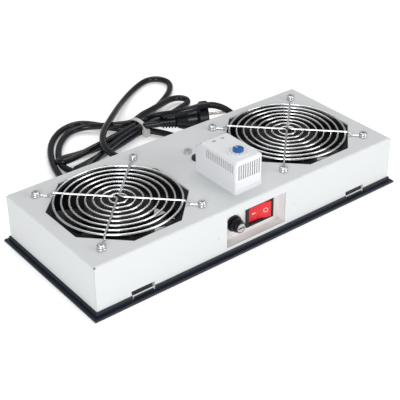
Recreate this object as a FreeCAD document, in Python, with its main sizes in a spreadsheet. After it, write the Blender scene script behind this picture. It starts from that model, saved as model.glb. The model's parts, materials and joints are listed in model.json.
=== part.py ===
"""Fan tray for the roof of a wall-mounted rack cabinet.

A folded steel housing, open below, carries two 120 mm axial fans with wire finger guards, a small
thermostat, a sunken switch panel with a rocker switch and a fuse holder, and a mains lead with its
plug. The origin is at the bottom centre of the housing: X runs along it, -Y is the switch side and
+Z is up. All sizes are millimetres and live in the sheet called "size".
"""

import math
import os
import re

import FreeCAD, Part
import Sketcher
from FreeCAD import Placement, Rotation, Vector

doc = FreeCAD.newDocument("fan_tray")
sheet = doc.addObject("Spreadsheet::Sheet", "size")

driving_sizes = {
    # folded housing
    "housing_length": 344,
    "housing_width": 142,
    "housing_height": 50,
    "sheet_thickness": 1.5,
    "bend_radius": 2,
    "relief_radius": 1.1,
    # fans
    "fan_spacing": 200,
    "fan_size": 120,
    "fan_depth": 38,
    "fan_flange": 4,
    "fan_corner": 5,
    "fan_hole_pitch": 104.8,
    "opening_flats": 119,
    "duct_radius": 57.5,
    "duct_wall": 2,
    "blade_radius": 56,
    "blade_thickness": 1.6,
    "blade_count": 7,
    "hub_radius": 31,
    "hub_wall": 2,
    "hub_height": 29,
    "hub_recess": 2.5,
    "strut_width": 7,
    "strut_height": 4,
    "strut_count": 4,
    "motor_plate": 3,
    "stator_radius": 25,
    "stator_height": 17,
    "bearing_radius": 5,
    "bearing_length": 6,
    "tube_wall": 1.6,
    "shaft_radius": 2.5,
    # finger guards and their fasteners
    "wire_radius": 1,
    "ring_first": 8.1,
    "ring_step": 6.95,
    "ring_count": 8,
    "ring_height": 2.4,
    "spoke_bend": 5,
    "screw_radius": 2,
    "screw_clearance": 0.25,
    "head_radius": 4,
    "head_height": 2.6,
    "nut_radius": 4,
    "nut_height": 3.2,
    # edge trim and snap clips
    "trim_height": 6,
    "trim_wall": 1.5,
    "flange_reach": 5,
    "flange_thickness": 2,
    "clip_spacing": 251,
    "clip_window_length": 24,
    "clip_window_height": 4.6,
    "clip_window_bottom": 5.7,
    "clip_foot_length": 20.4,
    "clip_bridge_bottom": 3.2,
    "clip_lip_top": 4.4,
    "clip_gap": 1.8,
    "clip_back": 3,
    # sunken switch panel
    "panel_length": 69,
    "panel_height": 32,
    "panel_centre": 25.2,
    "panel_depth": 10,
    "panel_sheet": 1,
    "panel_gap": 0.5,
    "panel_wing": 16,
    "weld_offset": 44.5,
    # rocker switch
    "switch_offset": 11,
    "bezel_length": 32,
    "bezel_height": 22,
    "bezel_thickness": 2,
    "switch_length": 28.4,
    "switch_height": 20,
    "switch_depth": 15,
    "rocker_length": 25.8,
    "rocker_height": 16.4,
    "rocker_gap": 0.35,
    "rocker_tilt": 10,
    "rocker_pin": 1.2,
    # fuse holder
    "fuse_offset": 19.5,
    "fuse_flange_radius": 7.7,
    "fuse_flange": 2.5,
    "fuse_tube_radius": 6,
    "fuse_bore": 4.6,
    "fuse_depth": 24,
    "fuse_cap_radius": 6.4,
    "fuse_cap_nose": 5.2,
    "fuse_cap_length": 8.5,
    # thermostat
    "thermostat_centre": 1,
    "thermostat_front": -58,
    "thermostat_width": 31,
    "thermostat_length": 58.5,
    "thermostat_height": 33,
    "thermostat_base_height": 8,
    "thermostat_wall": 1.6,
    "thermostat_round": 2.2,
    "thermostat_slope": 8,
    "dial_radius": 5,
    "dial_height": 2,
    "dial_from_front": 15.5,
    "scale_radius": 10,
    "scale_height": 0.8,
    "terminal_pitch": 10,
    # grommet and earth screw on the top face
    "grommet_from_centre": 15,
    "grommet_radius": 6.5,
    "grommet_hole": 4,
    "earth_from_centre": 30,
    # mains lead
    "gland_offset": -22,
    "gland_centre": 18,
    "gland_radius": 10.5,
    "gland_reach": 27,
    "cord_radius": 3.5,
    "core_radius": 1,
    "tie_width": 4.6,
    "tie_thickness": 1.4,
    "plug_radius": 18.5,
    "pin_radius": 2.4,
    "pin_length": 19,
    "pin_pitch": 19,
    # running and seating clearances
    "running_gap": 0.05,
    "seat_gap": 0.02,
}
for row, (name, value) in enumerate(driving_sizes.items(), start=1):
    sheet.set(f"A{row}", name)
    sheet.set(f"B{row}", str(value))
    sheet.setAlias(f"B{row}", name)
doc.recompute()


def val(name):
    """The sheet's value for one driving size."""
    return float(sheet.get(name))


def cell(formula):
    """Writes the names of driving sizes in a formula as references to the sheet."""
    return re.sub(r"[a-z_]+", lambda m: "size." + m[0] if m[0] in driving_sizes else m[0], str(formula))


def work_out(formula):
    """The number that a formula of driving sizes gives."""
    return sheet.evalExpression(cell(formula).replace("size.", "")) if isinstance(formula, str) else formula


def number(formula):
    result = work_out(formula)
    return float(getattr(result, "Value", result))


finished = {}


def keep(obj, label):
    """Names a finished piece; its label is its node's and file's name."""
    obj.Label = label
    finished[label] = obj
    return obj


def primitive(kind, label, at=(0, 0, 0), turn=None, **sizes):
    obj = doc.addObject("Part::" + kind, label)
    if turn:
        obj.Placement = Placement(Vector(), turn)
    for axis, formula in zip("xyz", at):
        obj.setExpression("Placement.Base." + axis, cell(formula))
    for name, formula in sizes.items():
        obj.setExpression(name, cell(formula))
    return obj


def block(label, low, size):
    """A box from its lowest corner and its three sizes."""
    return primitive("Box", label, low, Length=size[0], Width=size[1], Height=size[2])


to_back = Rotation(Vector(1, 0, 0), -90)  # a cylinder's axis along +Y
to_front = Rotation(Vector(1, 0, 0), 90)  # a cylinder's axis along -Y
along_x = Rotation(Vector(0, 1, 0), 90)


def rod(label, at, radius, height, turn=None):
    return primitive("Cylinder", label, at, turn, Radius=radius, Height=height)


def cut(label, base, tools):
    """The base less its tools."""
    tool = tools[0] if len(tools) == 1 else join(label + "_tools", tools)
    obj = doc.addObject("Part::Cut", label)
    obj.Base, obj.Tool = base, tool
    return obj


def join(label, shapes):
    obj = doc.addObject("Part::MultiFuse", label)
    obj.Shapes = shapes
    return obj


def group(label, shapes):
    """Separate solids that share one node."""
    obj = doc.addObject("Part::Compound", label)
    obj.Links = shapes
    return obj


def shaped(label, shape):
    obj = doc.addObject("Part::Feature", label)
    obj.Shape = shape
    return obj


def plane_of(body, role):
    return next(f for f in body.Origin.OriginFeatures if f.Role == role)


def sketch_on(body, label, role, lift=0):
    """A sketch on one of the body's own origin planes, lifted along the plane's normal."""
    sketch = body.newObject("Sketcher::SketchObject", label)
    sketch.AttachmentSupport = [(plane_of(body, role), "")]
    sketch.MapMode = "FlatFace"
    sketch.setExpression("AttachmentOffset.Base.z", cell(lift))
    return sketch


def draw_outline(sketch, points):
    """A closed outline of straight lines."""
    first = sketch.GeometryCount
    corners = [Vector(number(x), number(y), 0) for x, y in points]
    for i, start in enumerate(corners):
        sketch.addGeometry(Part.LineSegment(start, corners[(i + 1) % len(corners)]), False)
    for i in range(len(corners)):
        after = first + (i + 1) % len(corners)
        sketch.addConstraint(Sketcher.Constraint("Coincident", first + i, 2, after, 1))
    return first


def draw_rectangle(sketch, name, centre, size):
    """A rectangle whose two sides are bound to the sheet."""
    (cx, cy), (w, t) = [[number(f) for f in pair] for pair in (centre, size)]
    signs = ((-1, -1), (1, -1), (1, 1), (-1, 1))
    first = draw_outline(sketch, [(cx + sx * w / 2, cy + sy * t / 2) for sx, sy in signs])
    for side, way in enumerate(("Horizontal", "Vertical", "Horizontal", "Vertical")):
        sketch.addConstraint(Sketcher.Constraint(way, first + side))
    measures = (("DistanceX", 0, "length", size[0]), ("DistanceY", 1, "height", size[1]))
    for way, side, axis, formula in measures:
        sketch.addConstraint(Sketcher.Constraint(way, first + side, 1, first + side, 2, number(formula)))
        sketch.renameConstraint(sketch.ConstraintCount - 1, name + "_" + axis)
        sketch.setExpression(f"Constraints.{name}_{axis}", cell(formula))


def draw_circle(sketch, name, centre, radius):
    """A circle whose radius is bound to the sheet."""
    at = Vector(number(centre[0]), number(centre[1]), 0)
    index = sketch.addGeometry(Part.Circle(at, Vector(0, 0, 1), number(radius)), False)
    sketch.addConstraint(Sketcher.Constraint("Radius", index, number(radius)))
    sketch.renameConstraint(sketch.ConstraintCount - 1, name)
    sketch.setExpression("Constraints." + name, cell(radius))


def pad(body, label, sketch, length, reverse=False):
    feature = body.newObject("PartDesign::Pad", label)
    feature.Profile = sketch
    feature.Reversed = reverse
    feature.setExpression("Length", cell(length))
    return feature


def pocket(body, label, sketch, length, reverse=False):
    feature = body.newObject("PartDesign::Pocket", label)
    feature.Profile = sketch
    feature.Reversed = reverse
    feature.setExpression("Length", cell(length))
    return feature


def mirrored(body, label, features, role="YZ_Plane"):
    feature = body.newObject("PartDesign::Mirrored", label)
    feature.Originals = features
    feature.MirrorPlane = (plane_of(body, role), [""])
    body.Tip = feature
    return feature


def polar(body, label, features, count):
    feature = body.newObject("PartDesign::PolarPattern", label)
    feature.Originals = features
    feature.Axis = (plane_of(body, "Z_Axis"), [""])
    feature.Angle = 360
    feature.setExpression("Occurrences", cell(count))
    body.Tip = feature
    return feature


def row_of(body, label, features, role, length, count):
    """A straight row of copies along one of the body's axes."""
    feature = body.newObject("PartDesign::LinearPattern", label)
    feature.Originals = features
    feature.Direction = (plane_of(body, role), [""])
    feature.setExpression("Length", cell(length))
    feature.Occurrences = count
    body.Tip = feature
    return feature


def rounded(body, label, base, radius, chosen):
    """Rounds the chosen edges of a feature."""
    doc.recompute()
    names = [f"Edge{i}" for i, edge in enumerate(base.Shape.Edges, start=1) if chosen(edge)]
    feature = body.newObject("PartDesign::Fillet", label)
    feature.Base = (base, names)
    feature.setExpression("Radius", cell(radius))
    return feature


def lies_at(edge, axis, value):
    """True if the whole edge lies where the axis has this value."""
    box = edge.BoundBox
    low, high = {"x": (box.XMin, box.XMax), "y": (box.YMin, box.YMax), "z": (box.ZMin, box.ZMax)}[axis]
    return abs(low - value) < 1e-4 and abs(high - value) < 1e-4


def upright(edge):
    box = edge.BoundBox
    return box.XLength < 1e-4 and box.YLength < 1e-4


left_right = (("left", -1), ("right", 1))
front_rear = (("front", -1), ("rear", 1))
front = "-housing_width / 2"


# Folded housing: a tray of bent sheet, open below, with all its cut-outs
def make_housing():
    body = doc.addObject("PartDesign::Body", "housing_body")
    outline = sketch_on(body, "housing_outline", "XY_Plane")
    draw_rectangle(outline, "outer", (0, 0), ("housing_length", "housing_width"))
    shell = pad(body, "housing_block", outline, "housing_height")
    top = val("housing_height")
    rounded(body, "housing_bends", shell, "bend_radius", lambda e: lies_at(e, "z", top))

    inside = sketch_on(body, "housing_inside", "XY_Plane")
    walls = "2 * sheet_thickness"
    draw_rectangle(inside, "inner", (0, 0), (f"housing_length - {walls}", f"housing_width - {walls}"))
    pocket(body, "housing_hollow", inside, "housing_height - sheet_thickness", reverse=True)

    fan_cut = sketch_on(body, "fan_cut_outline", "XY_Plane", "housing_height")
    middle = val("fan_spacing") / 2
    around = val("opening_flats") / 2 / math.cos(math.pi / 8)
    turns = [math.pi / 8 + i * math.pi / 4 for i in range(8)]
    draw_outline(fan_cut, [(middle + around * math.cos(a), around * math.sin(a)) for a in turns])
    for i, (sx, sy) in enumerate(((-1, -1), (1, -1), (1, 1), (-1, 1))):
        at = (middle + sx * val("fan_hole_pitch") / 2, sy * val("fan_hole_pitch") / 2)
        draw_circle(fan_cut, f"screw_hole_{i}", at, "screw_radius + screw_clearance")
    right_cut = pocket(body, "fan_cut", fan_cut, "2 * sheet_thickness")
    mirrored(body, "fan_cuts", [right_cut])

    top_holes = sketch_on(body, "top_hole_outline", "XY_Plane", "housing_height")
    draw_circle(top_holes, "grommet_hole_size", ("thermostat_centre", "grommet_from_centre"), "grommet_hole")
    draw_circle(top_holes, "earth_hole_size", (0, "earth_from_centre"), "screw_radius + screw_clearance")
    for i, sy in enumerate((0.25, 0.75)):
        at = ("thermostat_centre", f"thermostat_front + {sy} * thermostat_length")
        draw_circle(top_holes, f"fixing_hole_{i}", at, "screw_radius + seat_gap")
    pocket(body, "top_holes", top_holes, "2 * sheet_thickness")

    corner = sketch_on(body, "corner_relief_outline", "XY_Plane", "housing_height")
    for i, (sx, sy) in enumerate(((-1, -1), (1, -1), (1, 1), (-1, 1))):
        at = (f"{sx} * (housing_length / 2 - relief_radius)", f"{sy} * (housing_width / 2 - relief_radius)")
        draw_circle(corner, f"relief_{i}", at, "relief_radius")
    pocket(body, "corner_relief", corner, "bend_radius + sheet_thickness")

    window = sketch_on(body, "switch_window_outline", "XZ_Plane", "housing_width / 2")
    draw_rectangle(window, "window", (0, "panel_centre"), ("panel_length", "panel_height"))
    pocket(body, "switch_window", window, "2 * sheet_thickness")

    welds = sketch_on(body, "spot_weld_outline", "XZ_Plane", "housing_width / 2")
    for side, sign in left_right:
        draw_circle(welds, f"{side}_weld", (f"{sign} * weld_offset", "panel_centre"), "sheet_thickness + 0.5")
    pocket(body, "spot_welds", welds, "sheet_thickness / 5")

    gland = sketch_on(body, "gland_hole_outline", "XZ_Plane", "-housing_width / 2")
    draw_circle(gland, "gland_hole", ("gland_offset", "gland_centre"), "gland_radius - 2.5")
    pocket(body, "gland_hole_cut", gland, "2 * sheet_thickness", reverse=True)

    clips = sketch_on(body, "clip_window_outline", "XZ_Plane")
    for side, sign in left_right:
        centre = (f"{sign} * clip_spacing / 2", "clip_window_bottom + clip_window_height / 2")
        draw_rectangle(clips, side + "_window", centre, ("clip_window_length", "clip_window_height"))
        notch = (f"{sign} * clip_spacing / 2", "clip_bridge_bottom / 2")
        draw_rectangle(clips, side + "_notch", notch, ("clip_foot_length", "clip_bridge_bottom"))
    both = pocket(body, "clip_windows", clips, "housing_width + 10")
    both.Midplane = True
    return body


keep(make_housing(), "housing")


# Switch panel: a pan of thinner sheet, spot-welded behind the front wall
def make_switch_panel():
    body = doc.addObject("PartDesign::Body", "panel_body")
    wing = sketch_on(body, "panel_wing_outline", "XZ_Plane", "housing_width / 2 - sheet_thickness")
    wide = "panel_length + 2 * panel_gap"
    tall = "panel_height + 2 * panel_gap"
    wing_size = (wide + " + 2 * panel_wing", tall + " + 2 * panel_sheet")
    draw_rectangle(wing, "wings", (0, "panel_centre"), wing_size)
    pad(body, "panel_wings", wing, "panel_sheet", reverse=True)
    pan = sketch_on(body, "pan_outline", "XZ_Plane", "housing_width / 2 - sheet_thickness")
    pan_size = (wide + " + 2 * panel_sheet", tall + " + 2 * panel_sheet")
    draw_rectangle(pan, "pan", (0, "panel_centre"), pan_size)
    pad(body, "pan_block", pan, "panel_depth - sheet_thickness + panel_sheet", reverse=True)
    hollow = sketch_on(body, "pan_hollow_outline", "XZ_Plane", "housing_width / 2 - sheet_thickness")
    draw_rectangle(hollow, "hollow", (0, "panel_centre"), (wide, tall))
    pocket(body, "pan_hollow", hollow, "panel_depth - sheet_thickness")
    holes = sketch_on(body, "panel_hole_outline", "XZ_Plane", "housing_width / 2 - panel_depth")
    around = "2 * running_gap"
    draw_rectangle(
        holes,
        "switch_hole",
        ("switch_offset", "panel_centre"),
        (f"switch_length + {around}", f"switch_height + {around}"),
    )
    draw_circle(holes, "fuse_hole", ("-fuse_offset", "panel_centre"), "fuse_tube_radius + running_gap")
    pocket(body, "panel_holes", holes, "3 * panel_sheet")
    return body


keep(make_switch_panel(), "switch_panel")


# Edge trim: an L-profile mitred at the corners, its upright leg against the wall
def trim_profile(sketch):
    wall, reach = val("trim_wall"), val("flange_reach")
    points = [
        (0, 0),
        (reach, 0),
        (reach, val("flange_thickness") - 0.6),
        (reach - 0.6, val("flange_thickness")),
        (wall, val("flange_thickness")),
        (wall, val("trim_height") - 0.5),
        (wall - 0.5, val("trim_height")),
        (0, val("trim_height")),
    ]
    draw_outline(sketch, points)


def make_trim(name, length, distance, turn, notched):
    """One side of the trim, made along X with its wall face at Y = 0 and turned into place."""
    body = doc.addObject("PartDesign::Body", name + "_body")
    profile = sketch_on(body, name + "_profile", "YZ_Plane", f"-({length}) / 2 - flange_reach")
    trim_profile(profile)
    bar = pad(body, name + "_bar", profile, f"{length} + 2 * flange_reach")
    mitre = sketch_on(body, name + "_mitre_outline", "XY_Plane")
    half, reach = number(length) / 2, val("flange_reach") + 1
    for sign in (-1, 1):
        draw_outline(mitre, [(sign * half, 0), (sign * (half + reach), reach), (sign * (half + reach), 0)])
    pocket(body, name + "_mitre", mitre, "trim_height + 1", reverse=True)
    if notched:
        notch = sketch_on(body, name + "_notch_outline", "XZ_Plane", "-flange_reach")
        for side, sign in left_right:
            centre = (f"{sign} * clip_spacing / 2", "(trim_height + 1 + flange_thickness) / 2")
            size = ("clip_foot_length + 2 * clip_gap", "trim_height + 1 - flange_thickness")
            draw_rectangle(notch, side + "_notch", centre, size)
        pocket(body, name + "_notch", notch, "flange_reach", reverse=True)
    body.Placement = Placement(Vector(), turn)
    axis = "x" if name in ("trim_left", "trim_right") else "y"
    sign = -1 if name in ("trim_left", "trim_front") else 1
    body.setExpression("Placement.Base." + axis, cell(f"{sign} * ({distance})"))
    return body


up = Vector(0, 0, 1)
keep(make_trim("trim_front", "housing_length", "housing_width / 2", Rotation(up, 180), True), "trim_front")
keep(make_trim("trim_rear", "housing_length", "housing_width / 2", Rotation(up, 0), True), "trim_rear")
keep(make_trim("trim_left", "housing_width", "housing_length / 2", Rotation(up, 90), False), "trim_left")
keep(make_trim("trim_right", "housing_width", "housing_length / 2", Rotation(up, -90), False), "trim_right")


# Snap clips: each grips the bridge of sheet between its window and the notch below
def make_clip(name, x_sign, y_sign):
    body = doc.addObject("PartDesign::Body", name + "_body")
    profile = sketch_on(body, name + "_profile", "YZ_Plane", "-clip_foot_length / 2 + panel_gap")
    wall, gap = val("sheet_thickness"), val("seat_gap")
    back = -wall - gap - val("clip_back")
    points = [
        (back, val("flange_thickness") + gap),
        (val("trim_wall"), val("flange_thickness") + gap),
        (val("trim_wall"), val("clip_lip_top") - 0.6),
        (val("trim_wall") - 0.6, val("clip_lip_top")),
        (gap, val("clip_lip_top")),
        (gap, val("clip_bridge_bottom") - gap),
        (-wall - gap, val("clip_bridge_bottom") - gap),
        (-wall - gap, val("clip_window_bottom") + gap),
        (-0.3, val("clip_window_bottom") + gap),
        (-0.3, val("clip_window_bottom") + val("clip_window_height") - 0.4),
        (back, val("clip_window_bottom") + val("clip_window_height") - 0.4),
    ]
    draw_outline(profile, points)
    pad(body, name + "_bar", profile, "clip_foot_length - 2 * panel_gap")
    body.Placement = Placement(Vector(), Rotation(up, 0 if y_sign > 0 else 180))
    body.setExpression("Placement.Base.x", cell(f"{x_sign} * clip_spacing / 2"))
    body.setExpression("Placement.Base.y", cell(f"{y_sign} * housing_width / 2"))
    return body


for row_name, y_sign in front_rear:
    for side, x_sign in left_right:
        keep(make_clip(f"{row_name}_{side}_clip", x_sign, y_sign), f"{row_name}_{side}_clip")


# Fans
fan_top = "housing_height - sheet_thickness"
fan_bottom = "(housing_height - sheet_thickness - fan_depth)"
hub_top = "(housing_height - sheet_thickness - hub_recess)"


def place_fan_piece(obj, sign):
    obj.setExpression("Placement.Base.x", cell(f"{sign} * fan_spacing / 2"))
    return obj


def sliced(name, body, sign, heights):
    """The frame as level slices that touch: each flange, and the duct and bearing tube between them."""
    slices = []
    for i, (low, high) in enumerate(zip(heights, heights[1:])):
        corner = (f"{sign} * fan_spacing / 2 - fan_size / 2", "-fan_size / 2", low)
        slab = block(f"{name}_slab_{i}", corner, ("fan_size", "fan_size", f"{high} - ({low})"))
        piece = doc.addObject("Part::Common", f"{name}_slice_{i}")
        piece.Base, piece.Tool = body, slab
        slices.append(piece)
    return group(name + "_slices", slices)


def make_fan_frame(side, sign):
    """Square die-cast frame: two flanges, a round duct, and struts to the motor plate."""
    name = side + "_frame"
    body = doc.addObject("PartDesign::Body", name + "_body")
    outline = sketch_on(body, name + "_outline", "XY_Plane", fan_bottom)
    draw_rectangle(outline, "flange", (0, 0), ("fan_size", "fan_size"))
    block_pad = pad(body, name + "_block", outline, "fan_depth")
    rounded(body, name + "_corners", block_pad, "fan_corner", upright)
    waist = sketch_on(body, name + "_waist_outline", "XY_Plane", f"{fan_bottom} + fan_flange")
    draw_rectangle(waist, "around", (0, 0), ("fan_size + 10", "fan_size + 10"))
    draw_circle(waist, "duct_outside", (0, 0), "duct_radius + duct_wall")
    pocket(body, name + "_waist", waist, "fan_depth - 2 * fan_flange", reverse=True)
    bore = sketch_on(body, name + "_bore_outline", "XY_Plane", fan_bottom)
    draw_circle(bore, "bore", (0, 0), "duct_radius")
    for i, (sx, sy) in enumerate(((-1, -1), (1, -1), (1, 1), (-1, 1))):
        at = (f"{sx} * fan_hole_pitch / 2", f"{sy} * fan_hole_pitch / 2")
        draw_circle(bore, f"hole_{i}", at, "screw_radius + screw_clearance")
    pocket(body, name + "_bore", bore, "fan_depth", reverse=True)
    plate = sketch_on(body, name + "_plate_outline", "XY_Plane", fan_bottom)
    draw_circle(plate, "plate", (0, 0), "hub_radius")
    pad(body, name + "_plate", plate, "motor_plate")
    strut = sketch_on(body, name + "_strut_outline", "XY_Plane", fan_bottom)
    draw_rectangle(
        strut,
        "strut",
        ("(hub_radius + duct_radius) / 2", 0),
        ("duct_radius - hub_radius + 2 * duct_wall", "strut_width"),
    )
    one_strut = pad(body, name + "_strut", strut, "strut_height")
    polar(body, name + "_struts", [one_strut], "strut_count")
    tube = sketch_on(body, name + "_tube_outline", "XY_Plane", f"{fan_bottom} + motor_plate")
    draw_circle(tube, "tube_outside", (0, 0), "bearing_radius + tube_wall")
    draw_circle(tube, "tube_inside", (0, 0), "bearing_radius")
    pad(body, name + "_tube", tube, "hub_height - hub_wall - bearing_length + hub_wall / 2")
    heights = [fan_bottom, f"({fan_bottom} + fan_flange)", f"({fan_top} - fan_flange)", fan_top]
    return sliced(name, place_fan_piece(body, sign), sign, heights)


def blade_shape():
    """One swept blade: lofted from its root to its tip and trimmed to the tip circle."""
    sections = []
    for radius, chord, pitch, sweep in (
        (val("hub_radius") - 1, 25, 52, 0),
        (val("duct_radius") * 0.75, 31, 42, 3),
        (val("duct_radius") + 2, 36, 34, 7),
    ):
        camber, thick = chord * 0.07, val("blade_thickness") / 2
        lean = Rotation(Vector(1, 0, 0), 90 - pitch)
        edges = []
        for lift in (thick, -thick):
            ends = (Vector(radius, 0, -chord / 2), Vector(radius, 0, chord / 2))
            crown = Vector(radius, camber + lift, 0)
            edge = Vector(0, lift / 2, 0)
            places = (ends[0] + edge, crown, ends[1] + edge)
            edges.append([lean.multVec(p) + Vector(0, sweep, 0) for p in places])
        upper, lower = edges
        wire = Part.Wire(
            [
                Part.Arc(*upper).toShape(),
                Part.LineSegment(upper[2], lower[2]).toShape(),
                Part.Arc(*reversed(lower)).toShape(),
                Part.LineSegment(lower[0], upper[0]).toShape(),
            ]
        )
        sections.append(wire)
    blade = Part.makeLoft(sections, True, False)
    keep_in = Part.makeCylinder(val("blade_radius"), val("fan_depth"), Vector(0, 0, -val("fan_depth") / 2))
    return blade.common(keep_in)


def make_impeller(side, sign):
    """Hub cup, open below, with swept blades and a boss for the shaft."""
    top = number(hub_top)
    bottom = top - val("hub_height")
    hub = Part.makeCylinder(val("hub_radius"), val("hub_height"), Vector(0, 0, bottom))
    hub = hub.makeFillet(2, [e for e in hub.Edges if lies_at(e, "z", top)])
    hollow = Part.makeCylinder(
        val("hub_radius") - val("hub_wall"), val("hub_height") - val("hub_wall"), Vector(0, 0, bottom)
    )
    boss_foot = Vector(0, 0, top - val("hub_wall") - val("bearing_length") + 1)
    boss = Part.makeCylinder(val("bearing_radius"), val("bearing_length"), boss_foot)
    low = Vector(0, 0, bottom)
    bore = Part.makeCylinder(val("shaft_radius") + val("seat_gap"), val("hub_height") - 1, low)
    blade = blade_shape()
    blade.translate(Vector(0, 0, top - val("hub_height") / 2))
    outside = Part.makeCylinder(val("hub_radius") - val("hub_wall") / 2, val("hub_height"), low)
    blades = []
    for i in range(int(val("blade_count"))):
        one = blade.copy()
        one.rotate(Vector(), up, 360 * i / val("blade_count"))
        blades.append(one.cut(outside))
    shape = hub.cut(hollow).fuse([boss, *blades]).cut(bore)
    return place_fan_piece(shaped(side + "_impeller_shape", shape), sign)


def make_stator(side, sign):
    """Laminated stator with its winding, on the bearing tube."""
    name = side + "_stator"
    inner = "bearing_radius + tube_wall + seat_gap"
    floor = f"{fan_bottom} + motor_plate"
    stack = rod(name + "_stack", (0, 0, f"{floor} + 4"), "stator_radius", "stator_height - 8")
    winding = rod(name + "_winding", (0, 0, floor), "stator_radius - 6", "stator_height")
    hole = rod(name + "_hole", (0, 0, floor), inner, "stator_height")
    return place_fan_piece(cut(name + "_shape", join(name + "_stock", [stack, winding]), [hole]), sign)


def make_bearings(side, sign):
    name = side + "_bearing"
    rings = []
    floor = f"{fan_bottom} + motor_plate"
    top = f"{floor} + hub_height - hub_wall / 2 - 2 * bearing_length - hub_wall / 2"
    for i, height in enumerate((floor, top)):
        ring = rod(f"{name}_outer_{i}", (0, 0, height), "bearing_radius - seat_gap", "bearing_length")
        hole = rod(f"{name}_inner_{i}", (0, 0, height), "shaft_radius + running_gap", "bearing_length")
        rings.append(cut(f"{name}_ring_{i}", ring, [hole]))
    return place_fan_piece(group(name + "_pair", rings), sign)


def make_fan_shaft(side, sign):
    low = f"{fan_bottom} + motor_plate + 0.5"
    shaft = rod(side + "_shaft_rod", (0, 0, low), "shaft_radius", f"{hub_top} - hub_wall / 2 - ({low})")
    return place_fan_piece(shaft, sign)


# Finger guards: concentric rings welded under two bent spokes
def round_wire(points, bends, radius):
    """A round wire along straight runs joined by arcs; bends has one radius for each inner point."""
    edges, start = [], points[0]
    for before, corner, after, bend in zip(points, points[1:], points[2:], bends):
        back, on = (before - corner).normalize(), (after - corner).normalize()
        half = back.getAngle(on) / 2
        reach = bend / math.tan(half)
        entry, leave = corner + back * reach, corner + on * reach
        centre = corner + (back + on).normalize() * (bend / math.sin(half))
        middle = centre + (corner - centre).normalize() * bend
        edges.append(Part.LineSegment(start, entry).toShape())
        edges.append(Part.Arc(entry, middle, leave).toShape())
        start = leave
    edges.append(Part.LineSegment(start, points[-1]).toShape())
    path = Part.Wire(edges)
    ring = Part.Wire(Part.makeCircle(radius, points[0], points[1] - points[0]))
    return path.makePipeShell([ring], True, True)


def make_guard(side, sign):
    plate, wire = val("housing_height"), val("wire_radius")
    ring_z = plate + val("ring_height")
    spoke_z = ring_z + 2 * wire - 0.1
    corner = val("fan_hole_pitch") / 2
    outer_ring = val("ring_first") + val("ring_step") * (val("ring_count") - 1)
    pieces = []
    for i in range(int(val("ring_count"))):
        radius = val("ring_first") + i * val("ring_step")
        pieces.append(Part.makeTorus(radius, wire, Vector(0, 0, ring_z)))
    eye = val("screw_radius") + val("screw_clearance") + wire
    step_out = outer_ring / math.sqrt(2) + 1.5
    down_at = step_out + 3.2
    for turn in (0, 180):
        low, high = plate + wire, spoke_z
        ends = (-1, 1), (-1, -1)  # a rear-left screw and a front-left screw share one bent wire
        path = []
        for sx, sy in ends:
            path.append(
                [
                    Vector(sx * (corner - eye / math.sqrt(2)), sy * (corner - eye / math.sqrt(2)), low),
                    Vector(sx * down_at, sy * down_at, low),
                    Vector(sx * step_out, sy * step_out, high),
                ]
            )
        hub = Vector(-0.35, 0, high)
        points = path[0] + [hub] + path[1][::-1]
        spoke = round_wire(points, [1.6, 1.6, val("spoke_bend"), 1.6, 1.6], wire)
        spoke.rotate(Vector(), up, turn)
        pieces.append(spoke)
    for sx in (-1, 1):
        for sy in (-1, 1):
            pieces.append(Part.makeTorus(eye, wire, Vector(sx * corner, sy * corner, plate + wire)))
    guard = pieces[0].fuse(pieces[1:])
    return place_fan_piece(shaped(side + "_guard_shape", guard), sign)


def corner_places():
    half = "fan_hole_pitch / 2"
    return [(f"{sx} * {half}", f"{sy} * {half}") for sx in (-1, 1) for sy in (-1, 1)]


def make_guard_screws(side, sign):
    """Pan-head screws with a cross recess, through the eyelets, the sheet and the frame's flange."""
    seat = "housing_height + 2 * wire_radius"
    screws = []
    for i, (x, y) in enumerate(corner_places()):
        name = f"{side}_screw_{i}"
        x = f"{sign} * fan_spacing / 2 + {x}"
        head = rod(name + "_head", (x, y, seat), "head_radius", "head_height")
        dome = doc.addObject("Part::Fillet", name + "_dome")
        dome.Base = head
        doc.recompute()
        rim = [j for j, e in enumerate(head.Shape.Edges, 1) if lies_at(e, "z", head.Shape.BoundBox.ZMax)]
        dome.Edges = [(j, 1.6, 1.6) for j in rim]
        length = "2 * wire_radius + sheet_thickness + fan_flange + nut_height + 1"
        shank = rod(name + "_shank", (x, y, f"{seat} - ({length})"), "screw_radius", length)
        slots = []
        for k, (a, b) in enumerate(((4, 1), (1, 4))):
            low = (f"{x} - {a / 2}", f"{y} - {b / 2}", f"{seat} + head_height - 1.2")
            slots.append(block(f"{name}_recess_{k}", low, (a, b, 2)))
        screws.append(cut(name, join(name + "_blank", [dome, shank]), slots))
    return group(side + "_screw_set", screws)


def make_guard_nuts(side, sign):
    nuts = []
    for i, (x, y) in enumerate(corner_places()):
        name = f"{side}_nut_{i}"
        x = f"{sign} * fan_spacing / 2 + {x}"
        top = "housing_height - sheet_thickness - fan_flange"
        at = (x, y, f"{top} - nut_height")
        hexagon = primitive("Prism", name + "_hex", at, Circumradius="nut_radius", Height="nut_height")
        hole = rod(name + "_bore", at, "screw_radius + seat_gap", "nut_height")
        nuts.append(cut(name, hexagon, [hole]))
    return group(side + "_nut_set", nuts)


for side, sign in left_right:
    keep(make_fan_frame(side, sign), side + "_fan_frame")
    keep(make_impeller(side, sign), side + "_impeller")
    keep(make_stator(side, sign), side + "_fan_stator")
    keep(make_bearings(side, sign), side + "_fan_bearings")
    keep(make_fan_shaft(side, sign), side + "_fan_shaft")
    keep(make_guard(side, sign), side + "_finger_guard")
    keep(make_guard_screws(side, sign), side + "_guard_screws")
    keep(make_guard_nuts(side, sign), side + "_guard_nuts")


# Thermostat: a base tray, a louvred cover and a dial over the bimetal switch
thermostat_split = "(housing_height + thermostat_base_height)"


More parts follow.
